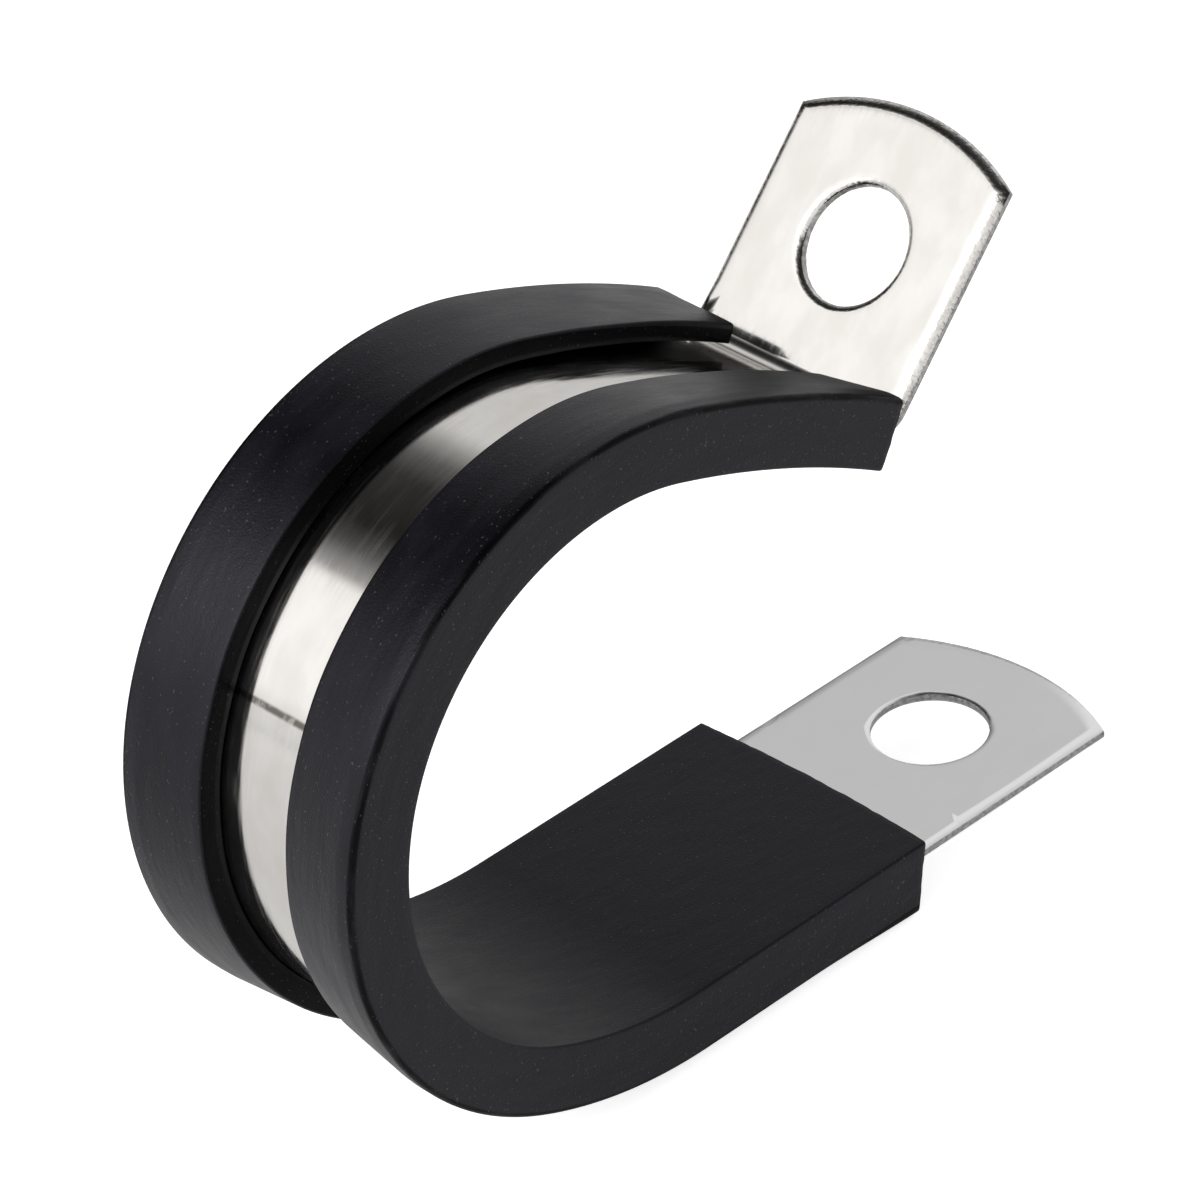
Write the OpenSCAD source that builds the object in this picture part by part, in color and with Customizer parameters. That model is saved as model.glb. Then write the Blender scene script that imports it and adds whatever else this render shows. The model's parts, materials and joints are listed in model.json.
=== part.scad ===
// Rubber-lined P clip for cables, hoses and pipes, shown open as it is supplied.
// One folded steel strap carries a slip-on rubber channel. The strap starts at a drilled
// tab, runs straight along the leg, wraps round the loop and turns up into a second
// drilled tab. Closing the loop brings the two holes onto one screw.
//
// Frame: X runs along the leg, from the loop towards the tabs. Y runs across the strap,
// from front to back, and Z points up from the leg. The origin is on the axis of the
// loop, mid strap.

/* [Steel strap] */
// Width of the steel strap
band_w = 15; // [12:0.5:25]
// Thickness of the steel strap
band_t = 0.6; // [0.4:0.1:0.8]
// Diameter of the screw hole in each tab
hole_d = 6.6; // [5.3:0.1:8.4]
// From the centre of each hole to the crown of the tab's tip
hole_to_tip = 7.8; // [7:0.1:10]
// From the end of the liner to the centre of the lower hole
end_to_lower_hole = 9.2; // [8:0.1:14]
// From the corner of the upper bend to the centre of the upper hole
bend_to_upper_hole = 7.7; // [7:0.1:14]
// Radius inside the upper bend
bend_r = 1; // [0.6:0.1:1.5]
// Slope of the upper tab above the leg, in degrees
tab_slope = 46.5; // [30:0.5:60]

/* [Route of the liner's inner face] */
// Length of the straight leg
leg_len = 16.8; // [12:0.1:30]
// Radius of the heel, where the leg starts to rise
heel_r = 24; // [20:0.5:40]
// Turn of the heel, in degrees
heel_turn = 25; // [15:0.5:30]
// Radius of the loop
loop_r = 15.5; // [12:0.25:18]
// Turn of the loop, in degrees
loop_turn = 173; // [165:0.5:180]
// Radius of the flattened shoulder above the mouth
shoulder_r = 65; // [50:1:100]
// Turn of the shoulder, in degrees
shoulder_turn = 13.5; // [8:0.5:18]
// Turn of the bare strap that runs on from the shoulder to the upper bend, in degrees
neck_turn = 0.2; // [0.1:0.1:1]

/* [Rubber liner] */
// Rubber between the steel and the cable
web_t = 1.55; // [1.2:0.05:1.6]
// Rubber outside each edge of the steel
side_t = 1.05; // [0.9:0.05:1.5]
// Play between the steel and the rubber, on every side
play = 0.05; // [0.03:0.01:0.1]
// Height of the liner over its side walls
liner_h = 4; // [3.8:0.05:4.6]
// Height of the free edge of the front lip
front_lip_h = 3.35; // [3.2:0.05:3.6]
// Height of the free edge of the back lip, which stands off the steel
back_lip_h = 3.65; // [3.5:0.05:3.8]
// Rubber in the free edge of the back lip
back_lip_t = 1.1; // [0.9:0.05:1.2]
// Width of the gap between the lips, where the steel shows
lip_gap = 6.1; // [4:0.1:8]
// Rounding of the outer corners
outer_round = 0.45; // [0.2:0.05:0.6]
// Rounding of the inner corners
inner_round = 0.25; // [0.1:0.05:0.35]
// Lean of the liner's cut end on the leg, in degrees
leg_end_lean = 12; // [0:1:15]
// Lean of its other cut end, at the upper bend, in degrees
bend_end_lean = 6; // [0:1:15]

/* [Hidden] */
$fn = 96;

steel = [0.80, 0.79, 0.77];
rubber = [0.11, 0.11, 0.12];

// Heights are measured outwards from the liner's inner face.
strap_in = web_t + play;
strap_out = strap_in + band_t;
channel_top = strap_out + play;
channel_half = band_w / 2 + play;
liner_half = channel_half + side_t;
gap_half = lip_gap / 2;

// The clip is drawn with its route in the XY plane and its width along Z, and is then
// stood up. Seen so, the route runs clockwise from the leg: heel, loop, shoulder and
// neck. Each name below is the angle at which that arc ends, anticlockwise from +X.
heel_to = 270 - heel_turn;
loop_to = heel_to - loop_turn;
shoulder_to = loop_to - shoulder_turn;
neck_to = shoulder_to - neck_turn;

// Neighbouring arcs share a tangent, so their centres and the joint between them lie on
// one line. The bend turns the other way, about a line above the strap's outer face.
heel_c = (loop_r - heel_r) * unit(heel_to);
shoulder_c = (loop_r - shoulder_r) * unit(loop_to);
bend_c = shoulder_c + (shoulder_r + strap_out + bend_r) * unit(neck_to);
bend_turn = tab_slope + 90 - neck_to;
bend_reach = bend_r * tan(bend_turn / 2);

// The tip of each tab is part of a disc twice as wide as the strap.
tip_r = band_w;
tip_crown = tip_r - sqrt(tip_r * tip_r - band_w * band_w / 4);

// The liner is drawn this much too long at each end, and then cut to its lean.
spare = 1;
spare_turn = 1;

function unit(angle) = [cos(angle), sin(angle)];

module stand_up() {
    rotate([90, 0, 0])
        children();
}

// Moves to a point in a rounded step and a tiny one, so that no digit of it is lost and
// neighbouring stretches meet flush.
module place(point) {
    near = [for (v = point) round(v * 1000) / 1000];
    translate(near)
        translate(point - near)
            children();
}

// Sweeps a section about a centre, anticlockwise between two angles. The section's X is
// the distance from the centre, and its Y runs across the strap, towards the front.
module arc(centre, from, to) {
    place(centre)
        rotate_extrude(start = from, angle = to - from)
            children();
}

// Carries a section along the route. The section's X is the height.
module along_route(leg, last_to) {
    place(heel_c)
        translate([leg, 0, 0])
            rotate([90, 0, -90])
                linear_extrude(leg)
                    translate([heel_r, 0])
                        children();
    arc(heel_c, heel_to, 270)
        translate([heel_r, 0])
            children();
    arc([0, 0], loop_to, heel_to)
        translate([loop_r, 0])
            children();
    arc(shoulder_c, last_to, loop_to)
        translate([shoulder_r, 0])
            children();
}

module strap_section(low) {
    translate([low, -band_w / 2])
        square([band_t, band_w]);
}

// A flat tab that starts at the origin, with its hole this far along X. The tip is the
// part of a disc that the plate's two edges leave.
module tab(to_hole) {
    tip = to_hole + hole_to_tip;
    linear_extrude(band_t)
        intersection() {
            translate([0, -band_w / 2])
                square([tip, band_w]);
            union() {
                translate([tip - tip_r, 0])
                    circle(tip_r);
                translate([0, -band_w / 2])
                    square([tip - tip_crown, band_w]);
            }
        }
}

module tab_hole(to_hole) {
    translate([to_hole, 0, -band_t])
        cylinder(h = 3 * band_t, d = hole_d);
}

// The lower tab carries the leg straight on, past the end of the liner.
module on_lower_tab() {
    place(heel_c)
        translate([leg_len, -heel_r - strap_in, 0])
            rotate([90, 0, 0])
                children();
}

module at_upper_tab() {
    place(bend_c)
        rotate(tab_slope)
            children();
}

module on_upper_tab() {
    at_upper_tab()
        translate([0, -bend_r, 0])
            rotate([90, 0, 0])
                children();
}

// The bend is drawn as two lengths that overlap, one from each of its ends.
module upper_bend() {
    part_turn = 0.6 * bend_turn;
    arc(bend_c, neck_to + 180, neck_to + 180 + part_turn)
        strap_section(bend_r);
    at_upper_tab()
        arc([0, 0], 270 - part_turn, 270)
            strap_section(bend_r);
}

module strap() {
    color(steel)
        stand_up()
            difference() {
                union() {
                    along_route(leg_len, neck_to)
                        strap_section(strap_in);
                    upper_bend();
                    on_lower_tab()
                        tab(end_to_lower_hole);
                    on_upper_tab()
                        tab(bend_to_upper_hole - bend_reach);
                }
                on_lower_tab()
                    tab_hole(end_to_lower_hole);
                on_upper_tab()
                    tab_hole(bend_to_upper_hole - bend_reach);
            }
}

// What a rounding takes off a square corner that points towards -X and -Y.
module corner_waste(r) {
    difference() {
        translate([-r, -r])
            square(2 * r);
        translate([r, r])
            circle(r);
        translate([r, -r])
            square(2 * r);
        translate([-r, r])
            square(2 * r);
    }
}

// A flat web under the steel, a wall past each of its edges, and two lips folded over
// it. The front lip lies flat on the steel, and the back lip rises to its free edge.
module liner_outline() {
    polygon([
        [0, -liner_half],
        [0, liner_half],
        [liner_h, liner_half],
        [liner_h, channel_half],
        [front_lip_h, gap_half],
        [channel_top, gap_half],
        [channel_top, channel_half],
        [web_t, channel_half],
        [web_t, -channel_half],
        [channel_top, -channel_half],
        [back_lip_h - back_lip_t, -gap_half],
        [back_lip_h, -gap_half],
        [liner_h, -channel_half],
        [liner_h, -liner_half],
    ]);
}

module liner_section() {
    difference() {
        liner_outline();
        for (side = [0, 1])
            mirror([0, side]) {
                translate([0, -liner_half])
                    corner_waste(inner_round);
                translate([liner_h, -liner_half])
                    mirror([1, 0])
                        corner_waste(outer_round);
            }
    }
}

// What a leaning cut takes off an end of the liner, past the origin along +X. The cut
// starts at the inner face and leans back over the liner, whose height is along -Y.
module end_waste(lean) {
    rotate(-lean)
        translate([0, -3 * liner_h, -liner_half - spare])
            cube([2 * liner_h, 4 * liner_h, 2 * (liner_half + spare)]);
}

module liner() {
    color(rubber)
        stand_up()
            difference() {
                along_route(leg_len + spare, shoulder_to - spare_turn)
                    liner_section();
                place(heel_c)
                    translate([leg_len, -heel_r, 0])
                        end_waste(leg_end_lean);
                place(shoulder_c)
                    rotate(shoulder_to + 90)
                        translate([0, -shoulder_r, 0])
                            mirror([1, 0, 0])
                                end_waste(bend_end_lean);
            }
}

strap();
liner();
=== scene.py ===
# %% [markdown]
# # A rubber-lined P clip
#
# The clip is two pieces. A flat steel blank with a hole near each end is folded into a
# strap, and an extruded rubber channel is slipped over it. Both follow one route, so
# this lesson works the route out once, as a formula, and then carries two different
# sections along it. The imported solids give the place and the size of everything.

# %% The frame
import json
import math

import bmesh
import bpy
import numpy as np
from mathutils import Matrix, Vector


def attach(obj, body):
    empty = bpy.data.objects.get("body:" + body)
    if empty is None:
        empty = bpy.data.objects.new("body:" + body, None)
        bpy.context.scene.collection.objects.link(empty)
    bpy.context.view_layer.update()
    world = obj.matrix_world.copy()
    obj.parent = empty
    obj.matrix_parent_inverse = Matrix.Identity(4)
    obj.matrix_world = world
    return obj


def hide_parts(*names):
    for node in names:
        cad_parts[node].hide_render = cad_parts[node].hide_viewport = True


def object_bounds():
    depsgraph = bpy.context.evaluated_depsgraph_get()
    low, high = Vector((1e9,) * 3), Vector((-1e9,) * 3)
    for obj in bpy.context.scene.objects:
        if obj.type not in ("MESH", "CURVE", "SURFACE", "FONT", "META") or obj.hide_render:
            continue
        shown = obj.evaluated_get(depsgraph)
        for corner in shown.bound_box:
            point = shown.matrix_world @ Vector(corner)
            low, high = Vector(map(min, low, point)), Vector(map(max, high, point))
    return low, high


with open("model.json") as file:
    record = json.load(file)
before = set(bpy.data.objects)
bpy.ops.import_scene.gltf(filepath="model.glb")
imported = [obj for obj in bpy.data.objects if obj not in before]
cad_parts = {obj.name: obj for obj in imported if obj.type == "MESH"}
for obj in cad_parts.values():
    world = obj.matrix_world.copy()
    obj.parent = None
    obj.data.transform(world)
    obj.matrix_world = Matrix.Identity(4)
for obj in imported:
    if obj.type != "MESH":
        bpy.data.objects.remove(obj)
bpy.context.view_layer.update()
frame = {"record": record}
record = frame["record"]

# %% [markdown]
# ## Driving dimensions
#
# The loop's radius and the two holes come from the record, which names them as mounts.
# The others are the section sizes of the strip and of the channel. All are in
# millimetres here, and become metres only when a mesh is made.

# %% Driving dimensions
MM = 0.001
mounts = {mount["name"]: mount for mount in record["mounts"]}


def mount_mm(name):
    """A mount's place in millimetres, as (x, z)."""
    x, _, z = mounts[name]["pos_m"]
    return np.array([x, z]) / MM


loop_r = mounts["cable_seat"]["dims"]["r_mm"]
hole_r = mounts["lower_hole"]["dims"]["r_mm"]
lower_hole = mount_mm("lower_hole")
upper_hole = mount_mm("upper_hole")

band_w, band_t = 15.0, 0.6
hole_to_tip, end_to_lower_hole = 7.8, 9.2
leg_len, heel_r, heel_turn = 16.8, 24.0, 25.0
loop_turn, shoulder_r, shoulder_turn = 173.0, 65.0, 13.5
neck_turn, bend_r, tab_slope = 0.2, 1.0, 46.5
web_t, side_t, play = 1.55, 1.05, 0.05
liner_h, front_lip_h, back_lip_h, back_lip_t = 4.0, 3.35, 3.65, 1.1
lip_gap, leg_end_lean = 6.1, 12.0

strap_in = web_t + play
strap_mid = strap_in + band_t / 2
strap_out = strap_in + band_t
channel_top = strap_out + play
channel_half = band_w / 2 + play
liner_half = channel_half + side_t
gap_half = lip_gap / 2
print("loop radius", loop_r, "hole radius", hole_r)

# %% [markdown]
# ## One route for both pieces
#
# The middle of the steel is a chain of straight runs and arcs. Along it, `s` counts
# millimetres from the liner's end on the leg: it is negative on the lower tab and grows
# round the loop to the upper tab. A point of either piece is then three numbers: `s`,
# `across` the strap, and `height` above the liner's inner face.

# %% The route
bend_turn = tab_slope + 90 - (270 - heel_turn - loop_turn - shoulder_turn - neck_turn)
# Each run: its length along the middle of the steel and its clockwise turn in degrees.
arc_runs = [
    (leg_len, 0.0),
    (math.radians(heel_turn) * (heel_r + strap_mid), heel_turn),
    (math.radians(loop_turn) * (loop_r + strap_mid), loop_turn),
    (math.radians(shoulder_turn + neck_turn) * (shoulder_r + strap_mid), shoulder_turn + neck_turn),
    (math.radians(bend_turn) * (bend_r + band_t / 2), -bend_turn),
]
run_ends = np.cumsum([0.0] + [length for length, _ in arc_runs])
leg_end = lower_hole - np.array([end_to_lower_hole, 0.0])
liner_to = run_ends[3] + math.radians(shoulder_turn) * (shoulder_r + strap_mid)
bend_from, bend_to = run_ends[4], run_ends[5]


def route(s):
    """Points and outward normals of the steel's middle at the lengths s.

    The heading falls evenly with s on each arc. On an arc of radius R the point is the
    centre plus R times the outward normal, and the normal is the heading turned left."""
    s = np.asarray(s, float)
    point = np.zeros(s.shape + (2,))
    normal = np.zeros(s.shape + (2,))
    start, heading = leg_end, math.pi
    for k, (length, turn) in enumerate(arc_runs + [(np.inf, 0.0)]):
        here = (s >= run_ends[k]) if k else np.ones(s.shape, bool)
        along = s - run_ends[k]
        turned = math.radians(turn) * (along / length if turn else 0 * along)
        angle = heading - turned
        n = np.stack([-np.sin(angle), np.cos(angle)], -1)
        if turn:
            radius = length / math.radians(turn)
            centre = start - radius * np.array([-math.sin(heading), math.cos(heading)])
            p = centre + radius * n
        else:
            p = start + along[..., None] * np.array([math.cos(heading), math.sin(heading)])
        point = np.where(here[..., None], p, point)
        normal = np.where(here[..., None], n, normal)
        if np.isfinite(length):
            new_heading = heading - math.radians(turn)
            if turn:
                start = centre + radius * np.array([-math.sin(new_heading), math.cos(new_heading)])
            else:
                start = start + length * np.array([math.cos(heading), math.sin(heading)])
            heading = new_heading
    return point, normal


def fold(s, across, height):
    """Places points given by route length, width and height: the route's point, plus the
    height above the steel's middle along the normal, with the width along Y."""
    point, normal = route(s)
    xz = point + (height - strap_mid)[..., None] * normal
    return np.stack([xz[..., 0], across + 0 * xz[..., 0], xz[..., 1]], -1)


hole_s = bend_to + np.linalg.norm(upper_hole - route(np.array([bend_to]))[0][0])
blank_from, blank_to = -end_to_lower_hole - hole_to_tip, hole_s + hole_to_tip
print("folded blank is", round(blank_to - blank_from, 2), "mm long; liner", round(liner_to, 2))
hole_miss = np.linalg.norm(route(np.array([hole_s]))[0][0] - upper_hole)
print("upper hole is", round(float(hole_miss), 5), "mm off its mount")

# %% [markdown]
# ## From arrays to meshes
#
# Every surface below is a grid of flat points: four numbers each, which are `s`,
# `across`, `height` and `cut`, the last being 1 where a blade or a punch has left its
# mark. `make_piece` folds the grids, welds them into a closed mesh, and keeps the flat
# numbers on the mesh, so that a material can follow the strip round its bends.

# %% Mesh helpers
WELD = 2e-7


def grid_faces(rows, columns, first=0):
    """Faces between neighbours of a rows by columns grid of points numbered from first."""
    r, c = np.meshgrid(np.arange(rows - 1), np.arange(columns - 1), indexing="ij")
    a = first + r * columns + c
    return np.stack([a, a + 1, a + columns + 1, a + columns], -1).reshape(-1, 4)


def flat_points(s, across, height, cut=0.0):
    return np.stack(np.broadcast_arrays(s, across, height, cut), -1).astype(float)


def make_piece(name, grids, node):
    """Folds grids of flat points and welds them into one mesh that stands for a node."""
    faces, count = [], 0
    for grid in grids:
        faces.append(grid_faces(*grid.shape[:2], count))
        count += grid.shape[0] * grid.shape[1]
    flat = np.concatenate([grid.reshape(-1, 4) for grid in grids])
    mesh = bpy.data.meshes.new(name)
    mesh.from_pydata(fold(*flat[:, :3].T) * MM, [], np.concatenate(faces).tolist())
    mesh.attributes.new("flat", "FLOAT_VECTOR", "POINT").data.foreach_set(
        "vector", flat[:, :3].ravel())
    mesh.attributes.new("cut", "FLOAT", "POINT").data.foreach_set("value", flat[:, 3])
    bm = bmesh.new()
    bm.from_mesh(mesh)
    bmesh.ops.remove_doubles(bm, verts=bm.verts, dist=WELD)
    bmesh.ops.dissolve_degenerate(bm, edges=bm.edges, dist=WELD)
    bmesh.ops.recalc_face_normals(bm, faces=bm.faces)
    open_edges = sum(not edge.is_manifold for edge in bm.edges)
    bm.to_mesh(mesh)
    bm.free()
    mesh.shade_smooth()
    piece = bpy.data.objects.new(name, mesh)
    bpy.context.collection.objects.link(piece)
    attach(piece, "root")
    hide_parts(node)
    print(name, len(mesh.polygons), "faces,", open_edges, "open edges")
    return piece


def smooth_step(x, low, high):
    """0 below low, 1 above high, and a smooth curve between."""
    t = np.clip((x - low) / (high - low), 0, 1)
    return t * t * (3 - 2 * t)


def ripple(x, y, length, seed):
    """Noise between about -1 and 1: the mean of nine waves of random heading and phase,
    whose lengths spread from half to twice the given length."""
    random = np.random.default_rng(seed)
    total = 0 * x + 0 * y
    for heading, phase, size in random.random((9, 3)):
        reach = 2 * math.pi / (length * 2 ** (2 * size - 1))
        wave = x * math.cos(math.tau * heading) + y * math.sin(math.tau * heading)
        total = total + np.sin(reach * wave + math.tau * phase)
    return total / 4


# %% [markdown]
# ## The rubber channel
#
# An extruder pushes rubber through a die, so every slice of the channel is the same C
# shape: a web, two walls and two lips. The slice is drawn as two rows of points, one on
# its outside and one on the side that faces the steel. Between them lies the rubber, so
# the same rows also make the cut ends.

# %% The channel's section


def rounded_path(corners, radii, spacing):
    """Points along a path whose inner corners are rounded.

    A corner of radius r becomes the arc that touches both of its sides. The arc starts
    r / tan(half the corner's angle) before the corner."""
    corners = np.asarray(corners, float)
    points = [corners[:1]]
    for before, corner, after, r in zip(corners, corners[1:], corners[2:], radii):
        u = (before - corner) / np.linalg.norm(before - corner)
        v = (after - corner) / np.linalg.norm(after - corner)
        half = math.acos(np.clip(np.dot(u, v), -1, 1)) / 2
        reach = r / math.tan(half)
        centre = corner + (u + v) / np.linalg.norm(u + v) * r / math.sin(half)
        a, b = corner + u * reach - centre, corner + v * reach - centre
        sweep = math.atan2(a[0] * b[1] - a[1] * b[0], np.dot(a, b))
        t = np.linspace(0, sweep, 7)[:, None]
        points.append(centre + a * np.cos(t) + np.array([-a[1], a[0]]) * np.sin(t))
    points.append(corners[-1:])
    path = [points[0]]
    for first, second in zip(points, points[1:]):
        gap = np.linalg.norm(second[0] - first[-1])
        steps = max(1, math.ceil(gap / spacing))
        between = np.linspace(0, 1, steps + 1)[1:-1, None]
        path += [first[-1] + between * (second[0] - first[-1]), second]
    return np.concatenate(path)


outer_round, inner_round, lip_round = 0.26, 0.16, 0.12
lip_fold_round = 3.0
point_spacing = 0.45
outside = rounded_path(
    [
        (channel_top, -gap_half), (front_lip_h, -gap_half), (liner_h, -channel_half),
        (liner_h, -liner_half), (0, -liner_half), (0, liner_half), (liner_h, liner_half),
        (liner_h, channel_half), (back_lip_h, gap_half), (back_lip_h - back_lip_t, gap_half),
    ],
    [
        lip_round, lip_fold_round, outer_round, inner_round,
        inner_round, outer_round, lip_fold_round, lip_round,
    ],
    point_spacing,
)


def facing_steel(section):
    """The point of the channel's inside nearest to each point of its outside."""
    height, across = section[..., 0], section[..., 1]
    under_back_lip = np.clip((channel_half - across) / (channel_half - gap_half), 0, 1)
    rise = (back_lip_h - back_lip_t - channel_top) * under_back_lip * (across > 0)
    height = np.clip(height, web_t, channel_top + rise)
    return np.stack([height, np.clip(across, -channel_half, channel_half)], -1)


inside = facing_steel(outside)
print("section has", len(outside), "points on its outside")

# %% [markdown]
# The channel is cut to length with a blade and pushed onto the strap by hand, so it is
# not perfect: its ends lean, are a little stepped, and one is askew. Its front lip sags
# at the leg's end, and its back lip hugs the steel but lifts towards the upper bend.

# %% Cuts and set of the channel
cut_edge = 0.09
blade_step, blade_step_length = 0.03, 0.8
leg_lean, leg_bow = math.tan(math.radians(leg_end_lean)), 0.3
bend_lean, bend_skew, bend_bulge = 0.04, 0.06, 0.08
front_sag, sag_length = 0.3, 9.0
back_lift, lift_length = 0.22, 18.0
back_hug = 0.28
wander, wander_length = 0.05, 9.0


def leg_cut(height, across):
    """Where the blade cut the leg's end: a plane that leans back with height, bowed
    across the strap, with the small steps that a blade leaves in rubber."""
    bow = leg_bow * (1 - (across / liner_half) ** 2)
    return leg_lean * height - bow + blade_step * ripple(across, height, blade_step_length, 11)


def bend_cut(height, across):
    """Where the blade cut the other end: askew, so that the back is shorter than the
    front, and bulging a little at half height."""
    back_from = bend_skew * (across + liner_half) + bend_lean * height
    bulge = bend_bulge * (1 - (2 * height / liner_h - 1) ** 2)
    steps = blade_step * ripple(across, height, blade_step_length, 12)
    return liner_to - back_from + bulge + steps


def settle(flat):
    """Lets the soft channel sit as rubber does, by moving its lips up, down and across."""
    s, across, height, cut = np.moveaxis(flat, -1, 0)
    on_lip = height > channel_top - 0.01
    low_side = smooth_step(height, 1.5, 3.5) * smooth_step(-across, 2, 8)
    sag = front_sag * low_side * smooth_step(-s, -sag_length, 0)
    lip = on_lip * (across > 0)
    free = smooth_step(channel_half - across, 0, channel_half - gap_half)
    under = smooth_step(height, back_lip_h - 0.15, back_lip_h - back_lip_t)
    lifted = back_lift * smooth_step(s, liner_to - lift_length, liner_to)
    hugging = back_hug * under * smooth_step(s, liner_to - 8, liner_to - 30)
    lift = lip * free * (lifted - hugging)
    free_edge = smooth_step(np.abs(across), 5.0, 3.4) * on_lip
    shift = wander * ripple(s, 0 * s, wander_length, 13) * free_edge
    return flat_points(s, across + shift, height + sag + lift, cut)


# %% The channel carried along the route
def channel_points(section, fraction, inset, partner, offset):
    """Moves a section towards its partner by inset, and carries it along the route to a
    share of the way between the ends, or to an offset from the nearer end."""
    gap = np.linalg.norm(partner - section, axis=-1, keepdims=True)
    moved = section + (partner - section) * (inset / np.maximum(gap, 1e-9)) * (gap > 2 * inset)
    height, across = moved[..., 0], moved[..., 1]
    low, high = leg_cut(height, across), bend_cut(height, across)
    s = low + fraction * (high - low) + offset
    cut = smooth_step(abs(offset), 0.1, 0.0) * (inset > 0)
    return settle(flat_points(s, across, height, cut))


def channel_wall(section, partner):
    """One skin of the channel from cut to cut, with its cut edges eased over."""
    turn = np.linspace(0, math.pi / 2, 4)
    end_offset = cut_edge * (1 - np.cos(turn))
    end_inset = cut_edge * (1 - np.sin(turn))
    body = np.linspace(0, 1, 240)[1:-1]
    fraction = np.concatenate([0 * turn, body, 0 * turn + 1])
    offset = np.concatenate([end_offset, 0 * body, -end_offset[::-1]])
    inset = np.concatenate([end_inset, 0 * body, end_inset[::-1]])
    return np.stack([
        channel_points(section, f, i, partner, o) for f, i, o in zip(fraction, inset, offset)
    ])


def channel_end(cut_line):
    """The cut face between the outside and the inside of the last section."""
    gap = np.linalg.norm(inside - outside, axis=-1, keepdims=True)
    step = (inside - outside) * (cut_edge / np.maximum(gap, 1e-9)) * (gap > 2 * cut_edge)
    share = np.linspace(0, 1, 7)[:, None, None]
    section = (outside + step) * (1 - share) + (inside - step) * share
    height, across = section[..., 0], section[..., 1]
    return settle(flat_points(cut_line(height, across), across, height, 1.0))


liner = make_piece(
    "rubber_channel",
    [
        channel_wall(outside, inside), channel_wall(inside, outside),
        channel_end(leg_cut), channel_end(bend_cut),
    ],
    "liner",
)

# %% [markdown]
# ## The steel strap
#
# The real strap is punched flat and then folded, and the mesh is made the same way. The
# flat blank has a straight middle, and round each hole a fan of points that runs from
# the hole out to the blank's edge. The same `fold` that carries the rubber bends it.

# %% The flat blank
burr = 0.04
tear, tear_length = 0.02, 0.5
roll_fade = 2.0
across_count, side_count = 25, 14
half_w = band_w / 2
tip_r = band_w
rows = np.linspace(-half_w, half_w, across_count)


def tip_edge(across):
    """How far the blank reaches past a hole's centre: a disc twice as wide as the strap."""
    return hole_to_tip - tip_r + np.sqrt(tip_r ** 2 - across ** 2)


def tab_outline(back, skew):
    """The edge of a tab round its hole as points (along, across) and the directions in
    which they face: up one side, over the tip, down the other side, then along the joint
    with the strap, which faces nowhere. The skew is how far the tip is punched askew.
    A corner's direction is the sum of its sides' directions over one plus their dot
    product, so that a step inwards stays parallel."""
    share = np.linspace(0, 1, side_count)[:-1]
    tip = np.stack([tip_edge(rows) - skew * rows / half_w, rows], -1)
    up = np.stack([share * (tip[0, 0] + back) - back, 0 * share - half_w], -1)
    joint = np.stack([0 * rows - back, rows[::-1]], -1)[1:]
    down = np.stack([share[::-1] * (tip[-1, 0] + back) - back, 0 * share + half_w], -1)
    tip_out = np.stack([tip[:, 0] - hole_to_tip + tip_r, rows], -1) / tip_r
    for end in (0, -1):
        side_out = np.array([0, np.sign(rows[end])])
        tip_out[end] = (tip_out[end] + side_out) / (1 + tip_out[end] @ side_out)
    facing = [up * 0 + [0, -1], tip_out, down * 0 + [0, 1], joint * 0]
    facing[-1][-1] = facing[0][0]
    return np.concatenate([up, tip, down, joint]), np.concatenate(facing)


# Where the edge is rolled over: distance in from the edge, drop below the face, cut. The
# cut on these rows paints the rollover partly in the torn grey, a painted shade line along
# the edge.
rolled = np.array([
    [0.42, 0.0, 0], [0.34, 0.012, 0.2], [0.25, 0.04, 0.4], [0.16, 0.08, 0.4], [0.08, 0.13, 0.4],
    [0.03, 0.17, 0.5],
])
# On the wall below: distance in from the edge, height over the underside, cut.
wall = np.array([
    [0.0, 0.29, 1], [0.006, 0.23, 1], [0.0, 0.17, 1], [0.01, 0.1, 1], [0.01, burr, 1], [burr, 0, 0],
])


def edge_profile(roll):
    """(distance in, height, cut) down a sheared edge, from the punch's side to the burr,
    for every value of roll, which scales how far the edge is rolled over."""
    roll = np.asarray(roll, float)[..., None]
    inward = np.concatenate([roll * rolled[:, 0], 0 * roll + wall[:, 0]], -1)
    height = np.concatenate([band_t - roll * rolled[:, 1], 0 * roll + wall[:, 1]], -1)
    cut = np.concatenate([0 * roll + rolled[:, 2], 0 * roll + wall[:, 2]], -1)
    return np.stack([inward, height, cut], -1)


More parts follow.
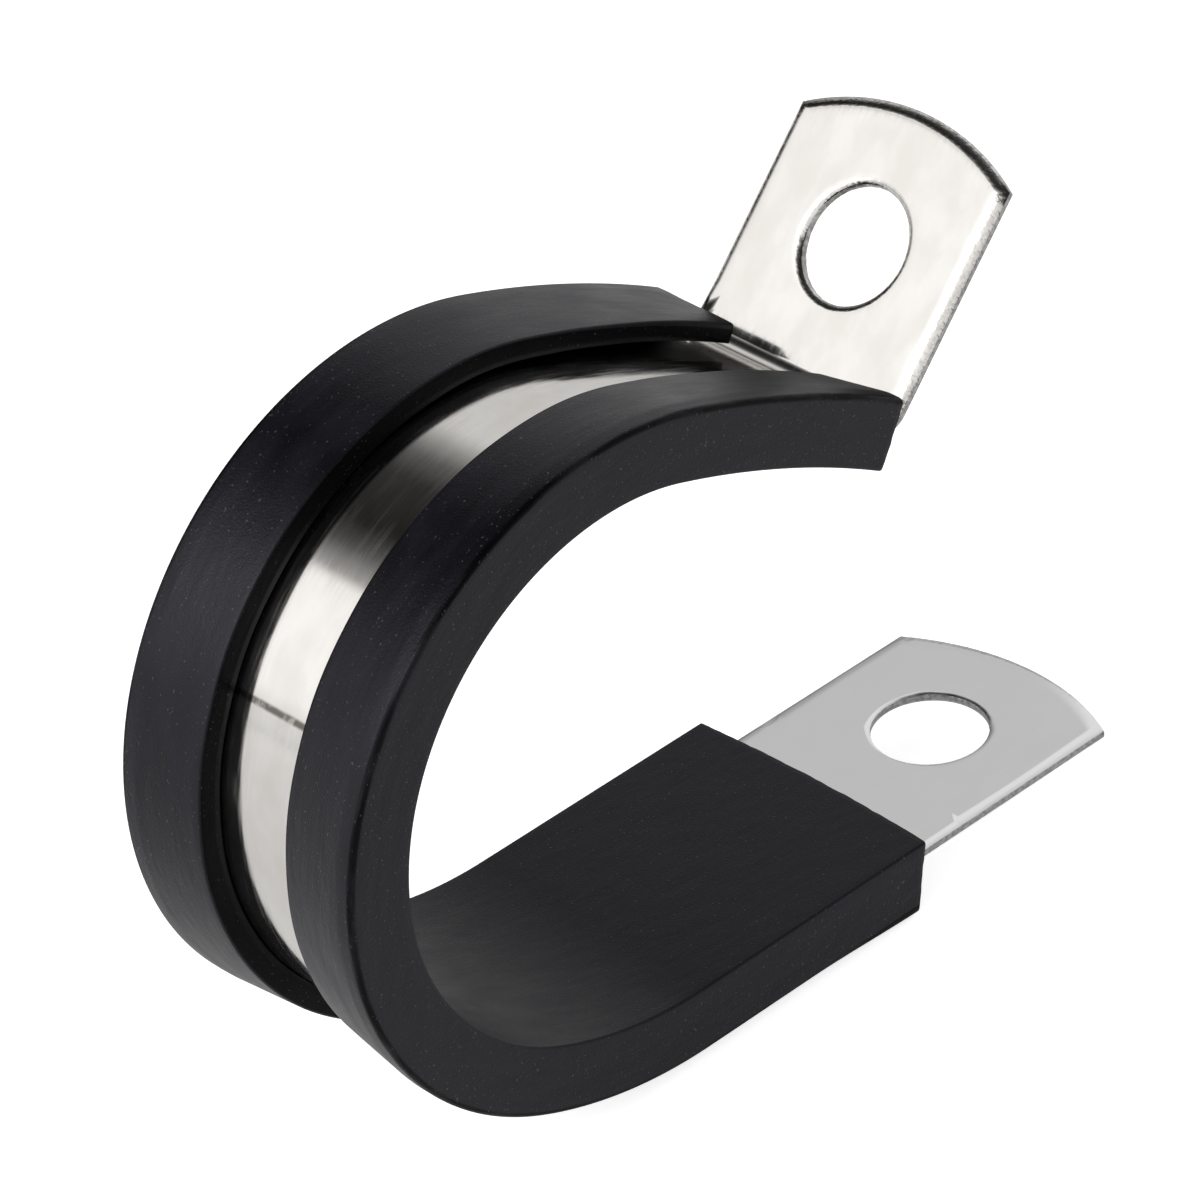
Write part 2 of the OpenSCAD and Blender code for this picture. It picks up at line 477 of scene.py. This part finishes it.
def tab_grids(back, direction, hole_at, skew, roll):
    """A tab as grids of flat points: the face from the hole out to the edge, the sheared
    edge, the underside, and the wall of the hole. Its hole lies at a route length, and
    its tip points along direction."""
    outline, facing = tab_outline(back, skew)
    angle = np.arctan2(outline[:, 1], outline[:, 0])
    radial = np.stack([np.cos(angle), np.sin(angle)], -1)
    edge_roll = 1 + (roll - 1) * smooth_step(outline[:, 0], -back, roll_fade - back)
    hole_roll = 1 + 0 * angle
    share = (np.linspace(0, 1, 9) ** 1.3)[:, None, None]

    def laid(plan, height, cut):
        return flat_points(hole_at + direction * plan[..., 0], plan[..., 1], strap_in + height, cut)

    def sheet(hole_inset, edge_inset, height):
        inner = radial * (hole_r + hole_inset[:, None])
        outer = outline - facing * edge_inset[:, None]
        return laid(inner + share * (outer - inner), height, 0.0)

    def rim(edge, inward, roll, torn=0.0):
        profile = edge_profile(roll).swapaxes(0, 1)
        inset = profile[..., :1] + torn * (profile[..., 2:] == 1)
        return laid(edge + inward * inset, profile[..., 1], profile[..., 2])

    # The rim ends one point along the joint, inside the metal.
    on_edge = 2 * side_count - 2 + across_count + 1
    torn = tear * ripple(hole_r * angle, 0 * angle, tear_length, 14)[None, :, None]
    return [
        sheet(hole_roll * rolled[0, 0], edge_roll * rolled[0, 0], band_t),
        rim(outline[:on_edge], -facing[:on_edge], edge_roll[:on_edge]),
        sheet(0 * hole_roll + burr, 0 * edge_roll + burr, 0.0),
        rim(radial * hole_r, radial, hole_roll, torn),
    ]


def strap_section():
    """A slice of the strap as a closed run of (across, height, cut), sheared edges too."""
    inward, height, cut = edge_profile(1.0).T
    right = np.stack([half_w - inward, height, cut], -1)
    left = np.stack([inward - half_w, height, cut], -1)[::-1]
    over = np.stack([rows[1:-1], 0 * rows[1:-1] + band_t, 0 * rows[1:-1]], -1)
    under = np.stack([rows[1:-1][::-1], 0 * rows[1:-1], 0 * rows[1:-1]], -1)
    return np.concatenate([left[-1:], over, right, under, left])


# %% The folded strap
lower_back, upper_back = 5.4, hole_s - bend_to - 0.3
lower_skew, lower_roll = 0.28, 1.0
upper_skew, upper_roll = 0.0, 1.5
lengths = np.unique(np.concatenate([
    np.linspace(lower_back - end_to_lower_hole, leg_len, 30),
    np.linspace(leg_len, run_ends[3], 160),
    np.linspace(run_ends[3], bend_from, 24),
    np.linspace(bend_from, bend_to, 22),
    [hole_s - upper_back],
]))
slice_ = strap_section()
middle = flat_points(
    lengths[:, None], slice_[None, :, 0], strap_in + slice_[None, :, 1], slice_[None, :, 2]
)
strap = make_piece(
    "steel_strap",
    [middle]
    + tab_grids(lower_back, -1, -end_to_lower_hole, lower_skew, lower_roll)
    + tab_grids(upper_back, 1, hole_s, upper_skew, upper_roll),
    "strap",
)

# %% [markdown]
# ## Materials
#
# Both materials read the flat numbers kept on the mesh, so that brushing runs along the
# strip and dust and grain are the size they should be, in millimetres.

# %% Shader helpers


def plug(tree, value, socket):
    """Links a socket's value, or sets a number, on another socket."""
    if isinstance(value, bpy.types.NodeSocket):
        tree.links.new(value, socket)
    else:
        socket.default_value = value


def calculate(tree, operation, *values):
    """A sum, product or other operation on sockets and numbers."""
    node = tree.nodes.new("ShaderNodeMath")
    node.operation = operation
    for value, socket in zip(values, node.inputs):
        plug(tree, value, socket)
    return node.outputs[0]


def noise(tree, place, stretch, size, detail=2.0):
    """Noise with features of the given size in mm, drawn out along s by stretch."""
    scaled = tree.nodes.new("ShaderNodeVectorMath")
    scaled.operation = "MULTIPLY"
    tree.links.new(place, scaled.inputs[0])
    scaled.inputs[1].default_value = (1 / stretch, 1, 1)
    node = tree.nodes.new("ShaderNodeTexNoise")
    tree.links.new(scaled.outputs[0], node.inputs["Vector"])
    node.inputs["Scale"].default_value = 1 / size
    node.inputs["Detail"].default_value = detail
    return node.outputs["Fac"]


def between(tree, value, low, high, to_low=0.0, to_high=1.0):
    """Follows a value from low to high with a smooth step from to_low to to_high."""
    node = tree.nodes.new("ShaderNodeMapRange")
    node.interpolation_type = "SMOOTHSTEP"
    for key, number in zip(("Value", "From Min", "From Max", "To Min", "To Max"),
                           (value, low, high, to_low, to_high)):
        plug(tree, number, node.inputs[key])
    return node.outputs["Result"]


def blend(tree, share, first, second):
    """Mixes two colours by a share."""
    node = tree.nodes.new("ShaderNodeMix")
    node.data_type = "RGBA"
    plug(tree, share, node.inputs["Factor"])
    for value, socket in zip((first, second), [n for n in node.inputs if n.type == "RGBA"]):
        plug(tree, (*value, 1) if isinstance(value, tuple) else value, socket)
    return [n for n in node.outputs if n.type == "RGBA"][0]


def raise_by(tree, height, depth_mm, base=None):
    """A bump of the given depth, laid over another one."""
    node = tree.nodes.new("ShaderNodeBump")
    node.inputs["Distance"].default_value = depth_mm * MM
    tree.links.new(height, node.inputs["Height"])
    if base is not None:
        tree.links.new(base, node.inputs["Normal"])
    return node.outputs[0]


def new_material(name):
    """A new material, its shader, and sockets that give the mesh's flat numbers."""
    material = bpy.data.materials.new(name)
    material.use_nodes = True
    tree = material.node_tree
    flat = tree.nodes.new("ShaderNodeAttribute")
    flat.attribute_name = "flat"
    axes = tree.nodes.new("ShaderNodeSeparateXYZ")
    tree.links.new(flat.outputs["Vector"], axes.inputs[0])
    cut = tree.nodes.new("ShaderNodeAttribute")
    cut.attribute_name = "cut"
    shader = tree.nodes["Principled BSDF"]
    return material, tree, shader, flat.outputs["Vector"], axes.outputs, cut.outputs["Fac"]


# %% [markdown]
# Black rubber is dull but not even. A thin film of bloom and dust greys it in patches,
# grains of dust sit on it, and the die leaves faint lines along the extrusion.

# %% Rubber
black, bloom = (0.0020, 0.0018, 0.0034), (0.0062, 0.0056, 0.0094)
painted_shade_black, dust_grey = (0.0013, 0.0012, 0.0012), (0.08, 0.08, 0.085)
rubber, tree, shader, place, (_, at_across, at_height), cut = new_material("rubber")
film = noise(tree, place, 2.0, 1.6, 4)
lines = noise(tree, place, 30.0, 0.22, 3)
grain = noise(tree, place, 1.0, 0.12, 3)
dust = between(tree, noise(tree, place, 1.0, 0.17, 1), 0.70, 0.76)
greyed = calculate(
    tree, "MULTIPLY", between(tree, film, 0.35, 0.75), between(tree, lines, 0.3, 0.8, 0.85, 1))
skin = blend(tree, greyed, black, bloom)

# %% [markdown]
# Two places are painted darker and made duller than the rest, as painted shade: the free
# edge of each lip, which faces the gap, and a patchy painted shade line along the outer
# corners. The inner face is only duller. All of them are found from the flat numbers.

# %% Painted shade on the rubber's edges
side = calculate(tree, "ABSOLUTE", at_across)
# Painted shade on the free edge of each lip, which faces the gap.
free_edge = calculate(tree, "MULTIPLY", between(tree, side, gap_half + 0.2, gap_half + 0.1),
                      between(tree, at_height, channel_top - 0.1, channel_top))
free_edge = calculate(tree, "MULTIPLY", free_edge, between(tree, at_height, 3.6, 3.5))
from_wall = calculate(tree, "SUBTRACT", liner_half, side)
from_top = calculate(tree, "SUBTRACT", liner_h, at_height)
from_corner = calculate(tree, "ADD", from_wall, from_top)
# Painted shade: a dark line along the outer corners, broken into patches.
patchy_crease_shade = between(tree, noise(tree, place, 6.0, 0.5, 3), 0.30, 0.60, 0.35, 1)
crease = calculate(tree, "MULTIPLY", between(tree, from_corner, 0.42, 0.22), patchy_crease_shade)
shaded = calculate(tree, "MAXIMUM", free_edge, crease)
inner_face = between(tree, at_height, 0.12, 0.02)
dulled = calculate(tree, "MAXIMUM", calculate(tree, "MULTIPLY", shaded, 0.75),
                   calculate(tree, "MULTIPLY", inner_face, 0.5))

# %% Rubber shader
# Painted shade: the lips' free edges and the outer corners are painted near black.
skin = blend(tree, shaded, skin, painted_shade_black)
speckled = blend(tree, calculate(tree, "MULTIPLY", dust, 0.7), skin, dust_grey)
tree.links.new(speckled, shader.inputs["Base Color"])
tree.links.new(between(tree, film, 0.2, 0.8, 0.34, 0.44), shader.inputs["Roughness"])
tree.links.new(between(tree, dulled, 0.0, 1.0, 0.5, 0.1), shader.inputs["Specular IOR Level"])
shader.inputs["IOR"].default_value = 1.32
shader.inputs["Specular Tint"].default_value = (0.92, 0.89, 1.0, 1)
wavy = raise_by(tree, noise(tree, place, 3.0, 1.1, 2), 0.05)
grained = raise_by(tree, grain, 0.018, wavy)
ragged = raise_by(tree, calculate(tree, "MULTIPLY", cut, grain), 0.06, grained)
tree.links.new(ragged, shader.inputs["Normal"])
liner.data.materials.append(rubber)

# %% [markdown]
# The strip is bright rolled steel. Rolling and handling leave fine lines along it, which
# show where a reflection fades. The punch leaves torn, darker walls. The same dark grey is
# painted partly over the rolled edges as a painted shade line, and the lower tab is painted
# a darker grey as painted shade.

# %% Steel
bright, warmer = (0.672, 0.657, 0.632), (0.615, 0.592, 0.562)
tab_shade_grey, scribe_grey, torn_and_shade_grey = (0.565, 0.565, 0.565), (0.155, 0.145, 0.13), (0.27, 0.265, 0.26)
steel, tree, shader, place, (at_s, _, _), cut = new_material("steel")
shader.inputs["Metallic"].default_value = 1
brushing = noise(tree, place, 40.0, 0.10, 4)
scratches = noise(tree, place, 14.0, 0.22, 5)
smudges = noise(tree, place, 1.5, 2.2, 3)
rolled_steel = blend(tree, between(tree, smudges, 0.3, 0.7), warmer, bright)
# Painted shade: towards the lower tab the steel is painted a darker grey.
rolled_steel = blend(tree, between(tree, at_s, 1.0, -2.0), rolled_steel, tab_shade_grey)

# %% Scribed line, torn walls and painted edge shade
loop_starts_at, scribed_at = 270 - heel_turn, 152.8
line_s = run_ends[2] + math.radians(loop_starts_at - scribed_at) * (loop_r + strap_mid)
off_line = calculate(tree, "ABSOLUTE", calculate(tree, "SUBTRACT", at_s, line_s))
patchy = between(tree, noise(tree, place, 1.0, 0.5, 3), 0.35, 0.6, 0.55, 1)
scribed = calculate(tree, "MULTIPLY", between(tree, off_line, 0.30, 0.08), patchy)
ragged = between(tree, noise(tree, place, 1.0, 0.25, 3), 0.35, 0.65, 0.45, 1)
torn = calculate(tree, "MULTIPLY", cut, ragged)

# %% Steel shader
# Painted shade: part of the torn grey falls on the rolled edges as a dark line.
marked = blend(tree, torn, blend(tree, scribed, rolled_steel, scribe_grey), torn_and_shade_grey)
tree.links.new(marked, shader.inputs["Base Color"])
polish = calculate(tree, "ADD", between(tree, scratches, 0.40, 0.68, 0.07, 0.15),
                   between(tree, smudges, 0.3, 0.7, 0.0, 0.05))
roughness = calculate(tree, "MAXIMUM", polish, calculate(tree, "MULTIPLY", cut, 0.34))
tree.links.new(roughness, shader.inputs["Roughness"])
wavy = raise_by(tree, noise(tree, place, 4.0, 4.0, 1), 0.008)
scratched = raise_by(tree, scratches, 0.0008, wavy)
brushed = raise_by(tree, brushing, 0.0004, scratched)
tree.links.new(raise_by(tree, torn, 0.03, brushed), shader.inputs["Normal"])
strap.data.materials.append(steel)

# %% [markdown]
# ## The camera
#
# A long lens far away, above and to the front left, rolled a little.

# %% Camera
aim = np.array([6.216, 0.0, 3.176])
azimuth, elevation, roll = map(math.radians, (-41.42, 34.24, -5.05))
distance, focal = 353.1, 204.92
back_axis = np.array([
    math.sin(azimuth) * math.cos(elevation),
    -math.cos(azimuth) * math.cos(elevation),
    math.sin(elevation),
])
level = np.array([math.cos(azimuth), math.sin(azimuth), 0.0])
above = np.cross(back_axis, level)
right_axis = level * math.cos(roll) + above * math.sin(roll)
up_axis = np.cross(back_axis, right_axis)
camera = bpy.data.objects.new("camera", bpy.data.cameras.new("camera"))
bpy.context.collection.objects.link(camera)
camera.data.lens = focal
camera.data.sensor_width = 36.0
camera.data.clip_start = 0.01
pose = np.eye(4)
pose[:3, 0], pose[:3, 1], pose[:3, 2] = right_axis, up_axis, back_axis
pose[:3, 3] = (aim + distance * back_axis) * MM
camera.matrix_world = Matrix(pose.tolist())
bpy.context.scene.camera = camera

# %% [markdown]
# ## The studio
#
# Bare steel shows little but its surroundings, so the light is a room and not a lamp: a
# bright panel on the left, a paler one on the right, and a dark gap between them
# overhead. Two ramps describe the room, one round the Y axis and one along it, and the
# level in any direction is their product. The camera sees plain white behind.

# %% Room light
# Degrees round the Y axis, from +X up towards +Z, and the level there.
panels = [
    (-180, 0.95), (-90, 0.60), (-25, 0.62), (4, 0.78), (57, 0.84), (65, 0.42), (72, 0.15),
    (82, 0.04), (104, 0.02), (113, 0.10), (119, 0.34), (122.5, 0.46), (126, 1.36), (168, 1.36),
    (176, 0.95), (180, 0.95),
]
# The share of +Y in a direction, and the level there.
sides = [
    (-1.0, 0.75), (-0.3, 1.0), (0.2, 1.5), (0.46, 1.5), (0.56, 1.05), (0.70, 1.0), (0.82, 0.7),
    (0.93, 0.3), (1.0, 0.1),
]
brightest = 1.5


def cleared_tree(owner):
    """Turns nodes on for a world or a material, and empties its tree."""
    owner.use_nodes = True
    owner.node_tree.nodes.clear()
    return owner.node_tree


def level_ramp(tree, share, stops):
    """A grey ramp over a share, through stops of (place, level)."""
    node = tree.nodes.new("ShaderNodeValToRGB")
    elements = node.color_ramp.elements
    while len(elements) < len(stops):
        elements.new(0.5)
    for element, (stop, level) in zip(elements, stops):
        element.position = stop
        element.color = (level / brightest, level / brightest, level / brightest, 1)
    tree.links.new(share, node.inputs[0])
    return node.outputs[0]


studio = bpy.data.worlds.new("studio")
bpy.context.scene.world = studio
tree = cleared_tree(studio)
axes = tree.nodes.new("ShaderNodeSeparateXYZ")
tree.links.new(tree.nodes.new("ShaderNodeTexCoord").outputs["Generated"], axes.inputs[0])
turned = calculate(tree, "ARCTAN2", axes.outputs["Z"], axes.outputs["X"])
turn_share = calculate(tree, "MULTIPLY_ADD", turned, 1 / math.tau, 0.5)
side_share = calculate(tree, "MULTIPLY_ADD", axes.outputs["Y"], 0.5, 0.5)
light = tree.nodes.new("ShaderNodeVectorMath")
light.operation = "MULTIPLY"
tree.links.new(
    level_ramp(tree, turn_share, [(0.5 + turn / 360, level) for turn, level in panels]),
    light.inputs[0])
tree.links.new(
    level_ramp(tree, side_share, [(0.5 + y / 2, level) for y, level in sides]),
    light.inputs[1])

# %% White to the camera
room = tree.nodes.new("ShaderNodeBackground")
room.inputs["Strength"].default_value = brightest ** 2
tree.links.new(light.outputs[0], room.inputs["Color"])
backdrop = tree.nodes.new("ShaderNodeBackground")
backdrop.inputs["Color"].default_value = (1, 1, 1, 1)
either = tree.nodes.new("ShaderNodeMixShader")
light_path = tree.nodes.new("ShaderNodeLightPath")
tree.links.new(light_path.outputs["Is Camera Ray"], either.inputs[0])
tree.links.new(room.outputs[0], either.inputs[1])
tree.links.new(backdrop.outputs[0], either.inputs[2])
tree.links.new(either.outputs[0], tree.nodes.new("ShaderNodeOutputWorld").inputs[0])

# %% [markdown]
# A smaller, brighter box stands on the left, nearer the front than the panel. The dull
# rubber shows it as a soft sheen, while the polished steel mirrors other directions.

# %% Left softbox
box_size, box_power, box_distance = 0.25, 0.7, 0.6
box_rise, box_side = math.radians(35), 0.25
softbox = bpy.data.lights.new("left_softbox", "AREA")
softbox.size, softbox.energy = box_size, box_power
lamp = bpy.data.objects.new("left_softbox", softbox)
bpy.context.collection.objects.link(lamp)
level_share = math.sqrt(1 - box_side ** 2)
toward = Vector((-level_share * math.cos(box_rise), box_side, level_share * math.sin(box_rise)))
facing_clip = toward.to_track_quat("Z", "Y").to_matrix().to_4x4()
lamp.matrix_world = Matrix.Translation(box_distance * toward) @ facing_clip

# %% [markdown]
# The floor is pale paper. It glows a little to the camera and in mirrors, so that it
# reads as white, and it still takes the clip's shadow.

# %% Floor
floor_reach, floor_gap = 1.5, 0.0002
paper_grey, camera_glow, mirror_glow = 0.8, 0.75, 0.3
floor_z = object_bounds()[0][2] - floor_gap
corners = [(-1, -1), (1, -1), (1, 1), (-1, 1)]
floor_mesh = bpy.data.meshes.new("floor")
floor_mesh.from_pydata(
    [(floor_reach * x, floor_reach * y, floor_z) for x, y in corners], [], [(0, 1, 2, 3)])
floor = bpy.data.objects.new("floor", floor_mesh)
bpy.context.collection.objects.link(floor)

# %% Paper
paper = bpy.data.materials.new("paper")
tree = cleared_tree(paper)
matt = tree.nodes.new("ShaderNodeBsdfDiffuse")
matt.inputs["Color"].default_value = (paper_grey, paper_grey, paper_grey, 1)
glow = tree.nodes.new("ShaderNodeEmission")
light_path = tree.nodes.new("ShaderNodeLightPath")
seen_glow = calculate(tree, "MULTIPLY", light_path.outputs["Is Camera Ray"], camera_glow)
mirrored_glow = calculate(tree, "MULTIPLY", light_path.outputs["Is Glossy Ray"], mirror_glow)
tree.links.new(calculate(tree, "ADD", seen_glow, mirrored_glow), glow.inputs["Strength"])
both = tree.nodes.new("ShaderNodeAddShader")
tree.links.new(matt.outputs[0], both.inputs[0])
tree.links.new(glow.outputs[0], both.inputs[1])
tree.links.new(both.outputs[0], tree.nodes.new("ShaderNodeOutputMaterial").inputs["Surface"])
floor_mesh.materials.append(paper)
bpy.context.scene.view_settings.view_transform = "Standard"
